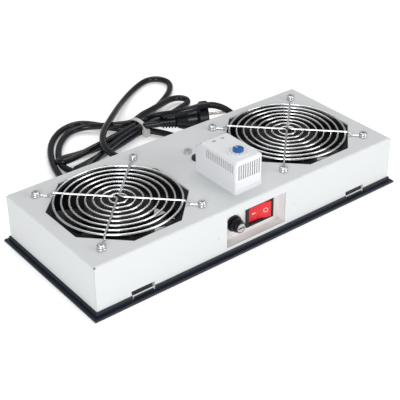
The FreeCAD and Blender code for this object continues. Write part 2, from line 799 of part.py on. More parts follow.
def make_thermostat_base():
    body = doc.addObject("PartDesign::Body", "thermostat_base_body")
    middle = ("thermostat_centre", "thermostat_front + thermostat_length / 2")
    outline = sketch_on(body, "base_outline", "XY_Plane", "housing_height")
    draw_rectangle(outline, "base", middle, ("thermostat_width", "thermostat_length"))
    tray = pad(body, "base_block", outline, "thermostat_base_height")
    rounded(body, "base_corners", tray, "thermostat_round", upright)
    hollow = sketch_on(body, "base_hollow_outline", "XY_Plane", "housing_height + thermostat_wall")
    wall = "2 * thermostat_wall"
    draw_rectangle(hollow, "hollow", middle, (f"thermostat_width - {wall}", f"thermostat_length - {wall}"))
    pocket(body, "base_hollow", hollow, "thermostat_base_height", reverse=True)
    holes = sketch_on(body, "base_hole_outline", "XY_Plane", "housing_height")
    for i, part in enumerate((0.25, 0.75)):
        at = ("thermostat_centre", f"thermostat_front + {part} * thermostat_length")
        draw_circle(holes, f"base_hole_{i}", at, "screw_radius + seat_gap")
    pocket(body, "base_holes", holes, "2 * thermostat_wall", reverse=True)
    return body


def side_outline(inset):
    """The cover seen from the side: its sloped rear end, moved in by one inset."""
    base = number(thermostat_split)
    near, far = val("thermostat_front") + inset, val("thermostat_front") + val("thermostat_length") - inset
    top, slope = val("housing_height") + val("thermostat_height") - inset, val("thermostat_slope")
    back, shoulder = (far, top - slope + inset / 2), (far - slope * 1.25 + inset / 2, top)
    return [(near, base), (far, base), back, shoulder, (near, top)]


def make_thermostat_cover():
    body = doc.addObject("PartDesign::Body", "thermostat_cover_body")
    outline = sketch_on(body, "cover_outline", "YZ_Plane")
    draw_outline(outline, side_outline(0))
    block_pad = pad(body, "cover_block", outline, "thermostat_width")
    block_pad.Midplane = True
    low = number(thermostat_split)
    rounded(body, "cover_edges", block_pad, "thermostat_round", lambda e: not lies_at(e, "z", low))
    inside = sketch_on(body, "cover_inside", "YZ_Plane")
    draw_outline(inside, side_outline(val("thermostat_wall")))
    hollow = pocket(body, "cover_hollow", inside, "thermostat_width - 2 * thermostat_wall")
    hollow.Midplane = True
    crown = "housing_height + thermostat_height"
    scale = sketch_on(body, "scale_outline", "XY_Plane", crown)
    draw_circle(scale, "scale_disc", (0, "thermostat_front + dial_from_front"), "scale_radius")
    pad(body, "scale_plate", scale, "scale_height")
    holes = sketch_on(body, "cover_hole_outline", "XY_Plane", crown + " + scale_height")
    draw_circle(holes, "dial_hole", (0, "thermostat_front + dial_from_front"), "1.5 + running_gap")
    for i, sx in enumerate((-1, 1)):
        at = (f"{sx} * terminal_pitch / 2", "thermostat_front + thermostat_length * 0.75")
        draw_circle(holes, f"terminal_hole_{i}", at, "2 + running_gap")
    pocket(body, "cover_holes", holes, "4 * thermostat_wall")

    front_slot = sketch_on(body, "front_slot_outline", "XZ_Plane", "-thermostat_front")
    draw_rectangle(front_slot, "front_slot", (-11.7, "housing_height + 21.5"), (1.3, 15))
    slot = pocket(body, "front_slot", front_slot, "1.5 * thermostat_wall")
    row_of(body, "front_louvres", [slot], "X_Axis", 23.4, 10)
    side_slot = sketch_on(body, "side_slot_outline", "YZ_Plane")
    draw_rectangle(side_slot, "side_slot", ("thermostat_front + 4.5", "housing_height + 25"), (1.3, 8.5))
    slot = pocket(body, "side_slot", side_slot, "thermostat_width + 2")
    slot.Midplane = True
    row_of(body, "side_louvres", [slot], "Y_Axis", 36.4, 15)
    body.setExpression("Placement.Base.x", cell("thermostat_centre"))
    return body


keep(make_thermostat_base(), "thermostat_base")
keep(make_thermostat_cover(), "thermostat_cover")

dial_at = ("thermostat_centre", "thermostat_front + dial_from_front")
dial_seat = "(housing_height + thermostat_height + scale_height + 0.3)"
dial_disc = rod("dial_disc", (*dial_at, dial_seat), "dial_radius", "dial_height")
dial_stem = rod("dial_stem", (*dial_at, f"{dial_seat} - 10"), 1.5, 10)
dial_slot_low = ("thermostat_centre - 3.5", f"{dial_at[1]} - 0.5", f"{dial_seat} + dial_height - 0.9")
dial_slot = block("dial_slot", dial_slot_low, (7, 1, 2))
keep(cut("dial_shape", join("dial_stock", [dial_disc, dial_stem]), [dial_slot]), "thermostat_dial")

floor_inside = "(housing_height + thermostat_wall)"
terminal_y = "(thermostat_front + 0.75 * thermostat_length)"
terminal_low = ("thermostat_centre - 9", f"{terminal_y} - 4.5", f"{floor_inside} + 3.2")
keep(block("terminal_bar", terminal_low, (18, 9, 17)), "thermostat_terminals")
terminal_screws = []
for i, sx in enumerate((-1, 1)):
    at = (f"thermostat_centre + {sx} * terminal_pitch / 2", terminal_y, f"{floor_inside} + 20.2")
    head = rod(f"terminal_head_{i}", at, 2, 10.6)
    low = (f"{at[0]} - 2.5", f"{terminal_y} - 0.4", f"{floor_inside} + 29.8")
    terminal_screws.append(cut(f"terminal_screw_{i}", head, [block(f"terminal_slot_{i}", low, (5, 0.8, 2))]))
keep(group("terminal_screw_pair", terminal_screws), "thermostat_terminal_screws")
strip_low = ("thermostat_centre - 3", f"{terminal_y} - 4.5 - 28", f"{floor_inside} + 12")
strip = block("bimetal_strip", strip_low, (6, 28, 0.6))
contact_at = ("thermostat_centre", f"{terminal_y} - 4.5 - 25", f"{floor_inside} + 10.8")
contact = rod("bimetal_contact", contact_at, 1.6, 1.2)
keep(join("bimetal_shape", [strip, contact]), "thermostat_bimetal")
fixing_screws = []
for i, part in enumerate((0.25, 0.75)):
    at = ("thermostat_centre", f"thermostat_front + {part} * thermostat_length")
    head = rod(f"fixing_head_{i}", (*at, floor_inside), 3.4, 2.4)
    shank = rod(f"fixing_shank_{i}", (*at, f"{floor_inside} - 8"), "screw_radius", 8)
    fixing_screws.append(join(f"fixing_screw_{i}", [head, shank]))
keep(group("fixing_screw_pair", fixing_screws), "thermostat_fixing_screws")

# Grommet and earth screw
grommet_at = ("thermostat_centre", "grommet_from_centre")
sheet_under = "housing_height - sheet_thickness"
grommet_rings = [
    rod("grommet_rim", (*grommet_at, "housing_height"), "grommet_radius", 1.8),
    rod("grommet_crown", (*grommet_at, "housing_height"), "grommet_radius - 2", 3),
    rod("grommet_neck", (*grommet_at, sheet_under), "grommet_hole - seat_gap", "sheet_thickness"),
    rod("grommet_foot", (*grommet_at, sheet_under + " - 2"), "grommet_radius - 1", 2),
]
keep(join("grommet_shape", grommet_rings), "top_grommet")
earth_head = rod("earth_head", (0, "earth_from_centre", "housing_height"), "head_radius", "head_height")
earth_shank = rod("earth_shank", (0, "earth_from_centre", "housing_height - 8"), "screw_radius", 8)
earth_slots = []
for i, (a, b) in enumerate(((4, 1), (1, 4))):
    low = (-a / 2, f"earth_from_centre - {b / 2}", "housing_height + head_height - 1.2")
    earth_slots.append(block(f"earth_recess_{i}", low, (a, b, 2)))
keep(cut("earth_screw_shape", join("earth_blank", [earth_head, earth_shank]), earth_slots), "earth_screw")
earth_floor = sheet_under
lug = join(
    "earth_lug_stock",
    [
        rod("lug_eye", (0, "earth_from_centre", f"{earth_floor} - 1"), 4.2, 1),
        block("lug_blade", (2, "earth_from_centre - 3.2", f"{earth_floor} - 1"), (12, 6.4, 1)),
    ],
)
lug_hole = rod("lug_hole", (0, "earth_from_centre", f"{earth_floor} - 1"), "screw_radius + seat_gap", 1)
keep(cut("earth_lug_shape", lug, [lug_hole]), "earth_lug")
nut_at = (0, "earth_from_centre", f"{earth_floor} - 1 - nut_height")
earth_nut = primitive("Prism", "earth_nut_hex", nut_at, Circumradius="nut_radius", Height="nut_height")
nut_hole = rod("earth_nut_hole", nut_at, "screw_radius + seat_gap", "nut_height")
keep(cut("earth_nut_shape", earth_nut, [nut_hole]), "earth_nut")

# Rocker switch
panel_face = "(-housing_width / 2 + panel_depth)"
pivot_y = f"({panel_face} + 2.5)"


def make_switch_body():
    body = doc.addObject("PartDesign::Body", "switch_body_body")
    middle = ("switch_offset", "panel_centre")
    plane = "housing_width / 2 - panel_depth"
    case = sketch_on(body, "switch_case_outline", "XZ_Plane", plane)
    draw_rectangle(case, "case", middle, ("switch_length", "switch_height"))
    pad(body, "switch_case", case, "switch_depth", reverse=True)
    bezel = sketch_on(body, "bezel_outline", "XZ_Plane", plane)
    draw_rectangle(bezel, "bezel", middle, ("bezel_length", "bezel_height"))
    pad(body, "bezel", bezel, "bezel_thickness")
    well = sketch_on(body, "rocker_well_outline", "XZ_Plane", plane + " + bezel_thickness")
    draw_rectangle(well, "well", middle, ("rocker_length + 2 * rocker_gap", "rocker_height + 2 * rocker_gap"))
    pocket(body, "rocker_well", well, "bezel_thickness + switch_depth - 2")
    pin = sketch_on(body, "pin_hole_outline", "XY_Plane", "panel_centre")
    draw_circle(pin, "pin_hole", ("switch_offset", pivot_y), "rocker_pin + running_gap")
    hole = pocket(body, "pin_holes", pin, "rocker_height + 2 * rocker_gap + 2.2")
    hole.Midplane = True
    return body


def make_rocker():
    """Rocker with two faces that meet at a shallow angle; it rests with its left half pressed."""
    tilt = math.radians(val("rocker_tilt"))
    end = val("rocker_length") / 2
    corner = Vector(end * math.cos(math.radians(26)), -end * math.sin(math.radians(26)), 0)
    crest = Vector(0, corner.y + corner.x * math.tan(tilt), 0)
    heel = Vector(end * math.cos(math.radians(22)), end * math.sin(math.radians(22)), 0)
    mirror = [Vector(-p.x, p.y, 0) for p in (corner, heel)]
    wire = Part.Wire(
        [
            Part.LineSegment(mirror[0], crest).toShape(),
            Part.LineSegment(crest, corner).toShape(),
            Part.Arc(corner, Vector(end, 0, 0), heel).toShape(),
            Part.LineSegment(heel, mirror[1]).toShape(),
            Part.Arc(mirror[1], Vector(-end, 0, 0), mirror[0]).toShape(),
        ]
    )
    high = val("rocker_height")
    body = Part.Face(wire).extrude(Vector(0, 0, high))
    body.translate(Vector(0, 0, -high / 2))
    pin_length = high + 2 * val("rocker_gap") + 1.9
    pin = Part.makeCylinder(val("rocker_pin"), pin_length, Vector(0, 0, -pin_length / 2))
    shape = body.fuse(pin)
    shape.rotate(Vector(), up, -val("rocker_tilt"))
    obj = shaped("rocker_shape", shape)
    obj.setExpression("Placement.Base.x", cell("switch_offset"))
    obj.setExpression("Placement.Base.y", cell(pivot_y))
    obj.setExpression("Placement.Base.z", cell("panel_centre"))
    return obj


keep(make_switch_body(), "switch_body")
keep(make_rocker(), "switch_rocker")
blades = []
for i, sx in enumerate((-1, 1)):
    for k, sz in enumerate((-1, 1)):
        x, z = f"switch_offset + {sx * 7} - 0.4", f"panel_centre + {sz * 5} - 3.15"
        blades.append(block(f"switch_blade_{i}{k}", (x, f"{panel_face} + switch_depth", z), (0.8, 9, 6.3)))
keep(group("switch_blades", blades), "switch_terminals")

# Fuse holder
fuse_x = "-fuse_offset"


def fuse_rod(label, y, radius, length):
    return rod(label, (fuse_x, y, "panel_centre"), radius, length, to_back)


holder = join(
    "fuse_holder_stock",
    [
        fuse_rod("fuse_flange_rod", f"{panel_face} - fuse_flange", "fuse_flange_radius", "fuse_flange"),
        fuse_rod("fuse_tube_rod", panel_face, "fuse_tube_radius", "fuse_depth"),
    ],
)
bore_depth = "fuse_flange + fuse_depth - 2.5"
holder_bore = fuse_rod("fuse_bore_rod", f"{panel_face} - fuse_flange", "fuse_bore", bore_depth)
keep(cut("fuse_holder_shape", holder, [holder_bore]), "fuse_holder_body")
nut_y = f"({panel_face} + panel_sheet)"
nut_centre = (fuse_x, nut_y, "panel_centre")
nut_hex = primitive("Prism", "fuse_nut_hex", nut_centre, to_back, Circumradius=9, Height=3)
nut_hole = fuse_rod("fuse_nut_hole", nut_y, "fuse_tube_radius + seat_gap", 3)
keep(cut("fuse_nut_shape", nut_hex, [nut_hole]), "fuse_holder_nut")
rear_low = (f"{fuse_x} - 2.4", f"{panel_face} + fuse_depth", "panel_centre - 0.4")
side_low = (f"{fuse_x} - 2.4", f"{panel_face} + 15", "panel_centre + fuse_tube_radius")
rear_blade = block("fuse_blade_rear", rear_low, (4.8, 9, 0.8))
side_blade = block("fuse_blade_side", side_low, (4.8, 8, 0.8))
keep(group("fuse_blades", [rear_blade, side_blade]), "fuse_terminals")
cap_gap = 0.35
carrier_front = f"({panel_face} - fuse_flange)"
carrier = fuse_rod("carrier_rod", carrier_front, "fuse_bore - running_gap", 19)
carrier_holes = [
    fuse_rod("carrier_socket", carrier_front, "3 + running_gap", 3.3),
    fuse_rod("carrier_bore", carrier_front, 2.62, 25),
]
keep(cut("carrier_shape", carrier, carrier_holes), "fuse_carrier")
keep(fuse_rod("fuse_link_rod", f"{carrier_front} + 3.6", 2.6, 20), "fuse_link")
cap_base = f"({carrier_front} - {cap_gap})"
cap_stock = join(
    "cap_stock",
    [
        fuse_rod("cap_skirt", f"{cap_base} - 4.6", "fuse_cap_radius", 4.6),
        fuse_rod("cap_nose", f"{cap_base} - fuse_cap_length", "fuse_cap_nose", "fuse_cap_length"),
        fuse_rod("cap_stem", cap_base, 3, 3.3),
    ],
)
flutes = []
for i in range(14):
    angle = 2 * math.pi * i / 14
    at = (
        f"{fuse_x} + (fuse_cap_radius + 0.35) * {math.cos(angle):.5f}",
        f"{cap_base} - 4.6",
        f"panel_centre + (fuse_cap_radius + 0.35) * {math.sin(angle):.5f}",
    )
    flutes.append(rod(f"cap_flute_{i}", at, 0.9, 4.6, to_back))
keep(cut("fuse_cap_shape", cap_stock, flutes), "fuse_cap")

# Mains lead: gland, cord, hank, tie and plug
rear = "(housing_width / 2)"


def gland_rod(label, y, radius, length):
    return rod(label, ("gland_offset", y, "gland_centre"), radius, length, to_back)


def gland_hex(label, y, length):
    at = ("gland_offset", y, "gland_centre")
    return primitive("Prism", label, at, to_back, Circumradius="gland_radius", Height=length)


stub_radius = "gland_radius - 2.5 - running_gap"
gland_stock = join(
    "gland_stock",
    [
        gland_rod("gland_stub", f"{rear} - sheet_thickness - 6", stub_radius, "sheet_thickness + 6"),
        gland_hex("gland_base", rear, 5),
        primitive(
            "Cone",
            "gland_relief",
            ("gland_offset", f"{rear} + 5", "gland_centre"),
            to_back,
            Radius1="gland_radius - 1.5",
            Radius2="cord_radius + 1.8",
            Height="gland_reach - 5",
        ),
    ],
)
gland_bore = gland_rod("gland_bore", f"{rear} - 12", "cord_radius + seat_gap", "gland_reach + 20")
keep(cut("gland_shape", gland_stock, [gland_bore]), "cable_gland")
locknut_y = f"({rear} - sheet_thickness - 4)"
locknut_hole = gland_rod("locknut_hole", locknut_y, f"{stub_radius} + seat_gap", 4)
keep(cut("locknut_shape", gland_hex("locknut_hex", locknut_y, 4), [locknut_hole]), "gland_locknut")


def cord_tube(label, route, radius):
    """A tube along straight runs joined by wide arcs, whose radii it prints."""
    points = [Vector(*p) for p in route]
    bends = []
    for before, corner, after in zip(points, points[1:], points[2:]):
        back, on = before - corner, after - corner
        half_turn = (math.pi - back.getAngle(on)) / 2
        bends.append(0.45 * min(back.Length, on.Length) / math.tan(half_turn))
    print(label, "bend radii", [round(b) for b in bends])
    return shaped(label, round_wire(points, bends, radius))


lead_route = [
    (-22, 58, 18),
    (-22, 108, 18),
    (-20, 136, 19.5),
    (-7, 160, 19),
    (12, 182, 15.5),
    (38, 206, 12.5),
    (60, 228, 7),
    (88, 249.5, 4.4),
    (118, 265, 4),
    (135, 258.5, 4),
    (140, 241.5, 4),
    (125, 222, 4),
    (93, 203, 4.2),
    (59, 187.5, 5),
]
fold_route = [
    (52, 181, 13),
    (70, 186, 11.5),
    (92, 194.5, 9.5),
    (106, 200, 7.5),
    (117, 199, 6.2),
    (122, 191.5, 5.5),
    (117.5, 183.5, 5),
    (105, 180.5, 4.6),
    (88, 175, 5),
    (66, 171.5, 7),
]
loop_route = [
    (24, 176, 6),
    (12, 202, 4.6),
    (-4, 222, 4.2),
    (-27, 221, 4),
    (-50, 204, 4),
    (-68, 178, 4),
    (-80, 148, 4),
    (-84, 118, 4),
    (-74, 98, 4),
    (-56, 98, 4),
    (-54, 120, 4),
    (-70, 148, 4),
    (-60, 174, 4),
    (-43, 197, 4),
    (-23, 211, 4.3),
    (-6, 208, 4.8),
    (6, 188, 5.5),
    (14, 166, 6),
]
tail_route = [
    (54, 168, 10),
    (47, 157, 17),
    (48, 145, 24.5),
    (56, 133.5, 29.5),
    (69, 124, 35),
    (85, 114.5, 40),
    (102, 109.5, 36.5),
    (115, 99, 26),
    (112, 87, 14),
    (96, 87, 6.5),
    (78, 102, 4.4),
    (62, 124, 4),
    (50, 146, 4.5),
    (45, 162, 6),
]
end_route = [(42, 166, 9), (45.5, 156.5, 13), (54.8, 149, 15.05)]

hank_stations = [
    (-66, 147, 12, 4.5),
    (-52, 150, 17, 6.5),
    (-20, 156, 16, 7.2),
    (12, 162, 13, 7.4),
    (36, 168, 10.5, 7.5),
    (54, 173, 12, 7.5),
    (68, 177, 8, 5.5),
]
hank_turn = Rotation(up, 14)


def hank_section(x, y, half_width, half_height, grow=0.0):
    ellipse = Part.Ellipse(Vector(), half_width + grow, half_height + grow).toShape()
    face_up = Rotation(Vector(0, 1, 0), Vector(0, 0, 1), Vector(1, 0, 0), "ZXY")
    height = half_height + val("tie_thickness") + val("running_gap")
    ellipse.Placement = Placement(Vector(x, y, height), hank_turn.multiply(face_up))
    return Part.Wire(ellipse)


hank = Part.makeLoft([hank_section(*station) for station in hank_stations], True, False)
keep(shaped("hank_shape", hank), "cord_hank")
keep(cord_tube("lead_tube", lead_route, val("cord_radius")), "mains_cord_lead")
keep(cord_tube("fold_tube", fold_route, val("cord_radius")), "mains_cord_fold")
keep(cord_tube("loop_tube", loop_route, val("cord_radius")), "mains_cord_loop")
keep(cord_tube("tail_tube", tail_route, val("cord_radius")), "mains_cord_tail")
keep(cord_tube("end_tube", end_route, val("cord_radius")), "mains_cord_end")


def make_tie():
    """A strap pulled tight round the bundle, with its square head at the front."""
    x, y, half_width, half_height = hank_stations[4]
    wide = val("tie_width")
    along = hank_turn.multVec(Vector(1, 0, 0))
    rings = []
    for grow in (val("tie_thickness"), val("running_gap")):
        face = Part.Face(hank_section(x, y, half_width, half_height, grow))
        face.translate(-along * (wide / 2))
        rings.append(face.extrude(along * wide))
    head = Part.makeBox(6.5, 5.5, 8, Vector(-3.25, -half_width - 5.3, 1.2))
    head.rotate(Vector(), up, hank_turn.Angle * 180 / math.pi)
    head.translate(Vector(x, y, 0))
    return shaped("tie_shape", rings[0].fuse(head).cut(rings[1]))


plug_length = 52.5


def make_plug():
    """Moulded earthed plug lying on the edge of its round front, with a ribbed strain relief."""
    wide = val("plug_radius")
    profile = [(0, 0), (0, 5)]
    for i in range(5):
        start, neck = 2 + 3.2 * i, 5 + 0.3 * i
        profile += [(start, neck), (start, neck + 1.3), (start + 1.6, neck + 1.3), (start + 1.6, neck)]
    profile += [(19, 8), (30, 11.5), (40, 12.5), (42, wide - 1.5), (43.5, wide)]
    profile += [(plug_length - 1.5, wide), (plug_length, wide - 1.5), (plug_length, 0)]
    outline = Part.makePolygon([Vector(a, b, 0) for a, b in profile + profile[:1]])
    plug = Part.Face(outline).revolve(Vector(), Vector(1, 0, 0), 360)
    for sign in (-1, 1):
        flat = Part.makeBox(12, 10, 10, Vector(plug_length - 6.5, -5, -5))
        flat.translate(Vector(0, sign * (wide + 3.5), 0))
        plug = plug.cut(flat)
    return plug


def make_pins():
    pins = []
    for sign in (-1, 1):
        foot = Vector(plug_length, 0, sign * val("pin_pitch") / 2)
        pin = Part.makeCylinder(val("pin_radius"), val("pin_length"), foot, Vector(1, 0, 0))
        tip = [e for e in pin.Edges if lies_at(e, "x", plug_length + val("pin_length"))]
        pins.append(pin.makeFillet(1, tip))
    return Part.makeCompound(pins)


def lay_plug(obj):
    """Lays a piece of the plug on the floor, its lead end a little lower than its round front."""
    level = Rotation(up, -34.4).multiply(Rotation(Vector(0, 1, 0), -4.6)).multiply(to_front)
    obj.Placement = Placement(Vector(54, 149.5, 15), level)
    return obj


keep(make_tie(), "cable_tie")
keep(lay_plug(shaped("plug_shape", make_plug())), "mains_plug")
keep(lay_plug(shaped("pin_shape", make_pins())), "plug_pins")

# Terminal block under the top sheet, between the fans
strip_top = "(housing_height - sheet_thickness)"
strip_body = block("strip_block", (-21, 42, f"{strip_top} - 13"), (42, 14, 13))
strip_wells = []
for i in range(5):
    x = -16 + 8 * i
    strip_wells.append(rod(f"strip_entry_{i}", (x, 42, f"{strip_top} - 8"), 1.9, 14, to_back))
    for k, y in enumerate((45.5, 52.5)):
        strip_wells.append(rod(f"strip_screw_hole_{i}{k}", (x, y, f"{strip_top} - 13"), 1.8, 5))
keep(cut("strip_shape", strip_body, strip_wells), "terminal_block")


# Wires inside the housing, from the mains lead and the fans to the strip and the switch parts
def wire_set(label, routes):
    radius = val("core_radius")
    return group(label, [cord_tube(f"{label}_{i}", route, radius) for i, route in enumerate(routes)])


live_in = [(-23.2, 58, 18.6), (-23.2, 44, 18.6), (-18, 30, 28), (-16, 30, 40.5), (-16, 46, 40.5)]
neutral_in = [(-20.8, 58, 18.6), (-20.8, 44, 18.6), (-10, 30, 28), (-8, 30, 40.5), (-8, 46, 40.5)]
earth_in = [(-22, 58, 16.2), (-22, 42, 16.2), (14, 26, 30), (24, 26, 40), (24, 30, 47.4), (14, 30, 47.4)]
to_fuse = [
    (-16, 52, 40.5),
    (-16, 63, 40.5),
    (-27, 63, 40.5),
    (-27, 38, 36),
    (-24, -8, 36),
    (-19.5, -19, 25.2),
    (-19.5, -28, 25.2),
]
fuse_to_switch = [(-19.5, -38, 32.3), (-19.5, -27, 32.3), (4, -27, 30.2), (4, -37, 30.2)]
switch_to_thermostat = [(18, -37, 30.2), (18, -24, 30.2), (6, -6, 36), (-1, 15, 38), (-1, 15, 46.5)]
from_thermostat = [(3, 15, 46.5), (3, 15, 37.5), (6, 28, 34), (0, 36, 40.5), (0, 46, 40.5)]
mains_wires = [live_in, neutral_in, earth_in, to_fuse, fuse_to_switch, switch_to_thermostat, from_thermostat]
left_neutral = [
    (-40.5, -3, 38),
    (-31.5, -3, 38),
    (-31.5, 66.5, 38),
    (-8, 66.5, 38),
    (-8, 60, 40.5),
    (-8, 52, 40.5),
]
left_live = [(-40.5, 3, 33), (-35.5, 3, 33), (-35.5, 63, 33), (0, 66.5, 37), (0, 60, 40.5), (0, 52, 40.5)]
right_neutral = [(40.5, -3, 38), (33, -3, 38), (8, 24, 38), (8, 34, 40.5), (8, 46, 40.5)]
right_live = [(40.5, 3, 33), (34, 3, 33), (16, 26, 37), (16, 34, 40.5), (16, 46, 40.5)]
keep(wire_set("mains_wire_set", mains_wires), "mains_wires")
keep(wire_set("fan_lead_set", [left_neutral, left_live, right_neutral, right_live]), "fan_leads")

doc.recompute()
os.makedirs("parts", exist_ok=True)
for label, obj in finished.items():
    bad = [word for word in ("Invalid", "Error") if word in obj.State]
    if bad or obj.Shape.isNull() or not obj.Shape.isValid():
        raise RuntimeError(f"{label} did not build: {bad}")
    obj.Shape.exportStep(f"parts/{label}.step")
    print(label, len(obj.Shape.Solids), "solids")
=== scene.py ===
import bpy, bmesh, json, math
from mathutils import Matrix, Vector


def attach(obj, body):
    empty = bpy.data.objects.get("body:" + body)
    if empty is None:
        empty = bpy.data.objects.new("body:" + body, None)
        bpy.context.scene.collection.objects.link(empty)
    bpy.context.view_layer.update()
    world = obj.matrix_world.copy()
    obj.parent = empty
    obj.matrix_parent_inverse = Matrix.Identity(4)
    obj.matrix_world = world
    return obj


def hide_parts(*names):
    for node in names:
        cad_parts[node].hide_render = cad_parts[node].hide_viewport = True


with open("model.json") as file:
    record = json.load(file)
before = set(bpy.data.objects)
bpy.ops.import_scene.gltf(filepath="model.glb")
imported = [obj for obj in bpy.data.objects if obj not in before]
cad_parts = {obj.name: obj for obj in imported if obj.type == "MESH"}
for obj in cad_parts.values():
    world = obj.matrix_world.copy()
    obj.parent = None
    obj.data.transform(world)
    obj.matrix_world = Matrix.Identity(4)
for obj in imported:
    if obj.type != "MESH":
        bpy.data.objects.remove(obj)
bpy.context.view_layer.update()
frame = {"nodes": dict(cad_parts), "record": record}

mm = 0.001
nodes = frame["nodes"]
print("frame loaded,", len(nodes), "CAD pieces")


# wraps a socket, so that shader sums read as plain maths
class Wire:
    def __init__(self, graph, socket):
        self.graph = graph
        self.socket = socket

    def maths(self, operation, other, swap=False):
        values = [other, self] if swap else [self, other]
        return self.graph.node("ShaderNodeMath", {"operation": operation}, values)

    def __add__(self, other):
        return self.maths("ADD", other)

    def __radd__(self, other):
        return self.maths("ADD", other, True)

    def __sub__(self, other):
        return self.maths("SUBTRACT", other)

    def __rsub__(self, other):
        return self.maths("SUBTRACT", other, True)

    def __mul__(self, other):
        return self.maths("MULTIPLY", other)

    def __rmul__(self, other):
        return self.maths("MULTIPLY", other, True)

    def over(self, other):
        return self.maths("GREATER_THAN", other)

    def part(self, name):
        return Wire(self.graph, self.socket.node.outputs[name])


socketNames = {
    "color": "Base Color",
    "roughness": "Roughness",
    "metallic": "Metallic",
    "coat": "Coat Weight",
    "specular": "Specular IOR Level",
    "subsurface": "Subsurface Weight",
    "subsurfaceScale": "Subsurface Scale",
    "transmission": "Transmission Weight",
    "glowColor": "Emission Color",
    "glow": "Emission Strength",
}


class Graph:
    def __init__(self, name):
        self.material = bpy.data.materials.new(name)
        self.material.use_nodes = True
        self.tree = self.material.node_tree
        self.tree.nodes.clear()
        shaded = self.node("ShaderNodeBsdfPrincipled")
        self.shader = shaded.socket.node
        self.node("ShaderNodeOutputMaterial", {}, {"Surface": shaded})
        self.place = self.node("ShaderNodeTexCoord").part("Object")

    def feed(self, socket, value):
        if isinstance(value, Wire):
            self.tree.links.new(value.socket, socket)
        elif isinstance(value, tuple) and len(value) == 3 and socket.type == "RGBA":
            socket.default_value = (*value, 1)
        else:
            socket.default_value = value

    def node(self, kind, settings=None, sockets=None):
        made = self.tree.nodes.new(kind)
        for name, value in (settings or {}).items():
            setattr(made, name, value)
        places = enumerate(sockets) if isinstance(sockets, list) else (sockets or {}).items()
        for name, value in places:
            self.feed(made.inputs[name], value)
        return Wire(self, made.outputs[0]) if made.outputs else None

    def axis(self, letter):
        return self.node("ShaderNodeSeparateXYZ", {}, [self.place]).part(letter)

    def noise(self, scale, detail=3.0, roughness=0.5, place=None):
        sockets = {"Vector": place or self.place, "Scale": scale, "Detail": detail, "Roughness": roughness}
        return self.node("ShaderNodeTexNoise", {}, sockets)

    def mix(self, factor, first, second):
        settings = {"data_type": "RGBA", "blend_type": "MIX"}
        made = self.node("ShaderNodeMix", settings, {0: factor, 6: first, 7: second})
        return Wire(self, made.socket.node.outputs[2])

    def bump(self, height, strength=0.2, distance=0.0002):
        made = self.node("ShaderNodeBump", {}, {"Height": height, "Strength": strength, "Distance": distance})
        self.feed(self.shader.inputs["Normal"], made)

    def surface(self, **values):
        for name, value in values.items():
            self.feed(self.shader.inputs[socketNames[name]], value)
        return self.material


def tinted(color, by):
    return tuple(min(1.0, c * by) for c in color)


def powderCoat(name, color, roughness=0.45, seam=None):  # fine orange peel and slight clouding
    g = Graph(name)
    peel = g.noise(900, 2.0)
    cloud = g.noise(14, 3.0)
    g.bump(peel, 0.12, 0.00012)
    shade = g.mix(cloud, tinted(color, 0.985), tinted(color, 1.01))
    if seam:
        x, y = g.axis("X"), g.axis("Y")
        line = (x * x).over(seam["x"] ** 2) * (y * y).over(seam["y"] ** 2)
        shade = g.mix(line * seam["depth"], shade, tinted(color, 0.45))
    return g.surface(color=shade, roughness=roughness + 0.08 * peel, specular=0.4)


def louvredPlastic(name, color, shell):  # moulded white plastic; its slots and hollows get painted shade, a dark grey mixed in within the shell's box
    g = Graph(name)
    fine = g.noise(900, 3.0)
    broad = g.noise(35, 2.0)
    g.bump(fine, 0.2, 0.00004)
    # painted shade: points within the shell's box and below its top are mixed towards dark grey
    x, y, z = g.axis("X") - shell["centre"][0], g.axis("Y") - shell["centre"][1], g.axis("Z")
    paintedShadeInside = 1.0 - (x * x).over(shell["half"][0] ** 2)
    paintedShadeInside = paintedShadeInside * (1.0 - (y * y).over(shell["half"][1] ** 2)) * (1.0 - z.over(shell["top"]))
    shade = g.mix(broad, tinted(color, 0.95), tinted(color, 1.04))
    return g.surface(color=g.mix(paintedShadeInside * 0.6, shade, (0.22, 0.22, 0.24)), roughness=0.42 + 0.1 * fine)


def mouldedPlastic(name, color, roughness=0.4, grain=700, depth=0.00006, coat=0.0, specular=0.5):
    g = Graph(name)
    fine = g.noise(grain, 3.0)
    broad = g.noise(35, 2.0)
    g.bump(fine, 0.25, depth)
    shade = g.mix(broad, tinted(color, 0.93), tinted(color, 1.07))
    dull = roughness + 0.1 * (fine - 0.5) + 0.06 * broad
    return g.surface(color=shade, roughness=dull, coat=coat, specular=specular)


def platedMetal(name, color, roughness=0.22, streaks=0.0):
    g = Graph(name)
    if streaks:
        stretched = g.node("ShaderNodeMapping", {}, {"Vector": g.place, "Scale": (60.0, 900.0, 900.0)})
        brushed = g.noise(1.0, 4.0, 0.6, stretched)
    else:
        brushed = g.noise(500, 3.0)
    patch = g.noise(45, 3.0)
    g.bump(brushed, 0.15 + streaks, 0.00003)
    shade = g.mix(patch, tinted(color, 0.9), tinted(color, 1.05))
    return g.surface(color=shade, metallic=1.0, roughness=roughness + 0.14 * patch)


def copperWinding(name):
    g = Graph(name)
    settings = {"wave_type": "RINGS", "rings_direction": "Z"}
    wires = g.node("ShaderNodeTexWave", settings, {"Vector": g.place, "Scale": 320.0, "Distortion": 0.6})
    g.bump(wires.part("Fac"), 0.6, 0.0002)
    shade = g.mix(wires.part("Fac"), (0.16, 0.06, 0.03), (0.42, 0.17, 0.07))
    return g.surface(color=shade, metallic=0.6, roughness=0.4)


def castAlloy(name, color):
    g = Graph(name)
    cast = g.noise(260, 5.0, 0.65)
    g.bump(cast, 0.35, 0.0002)
    shade = g.mix(cast, tinted(color, 0.8), tinted(color, 1.3))
    return g.surface(color=shade, roughness=0.5 + 0.2 * cast, specular=0.2)


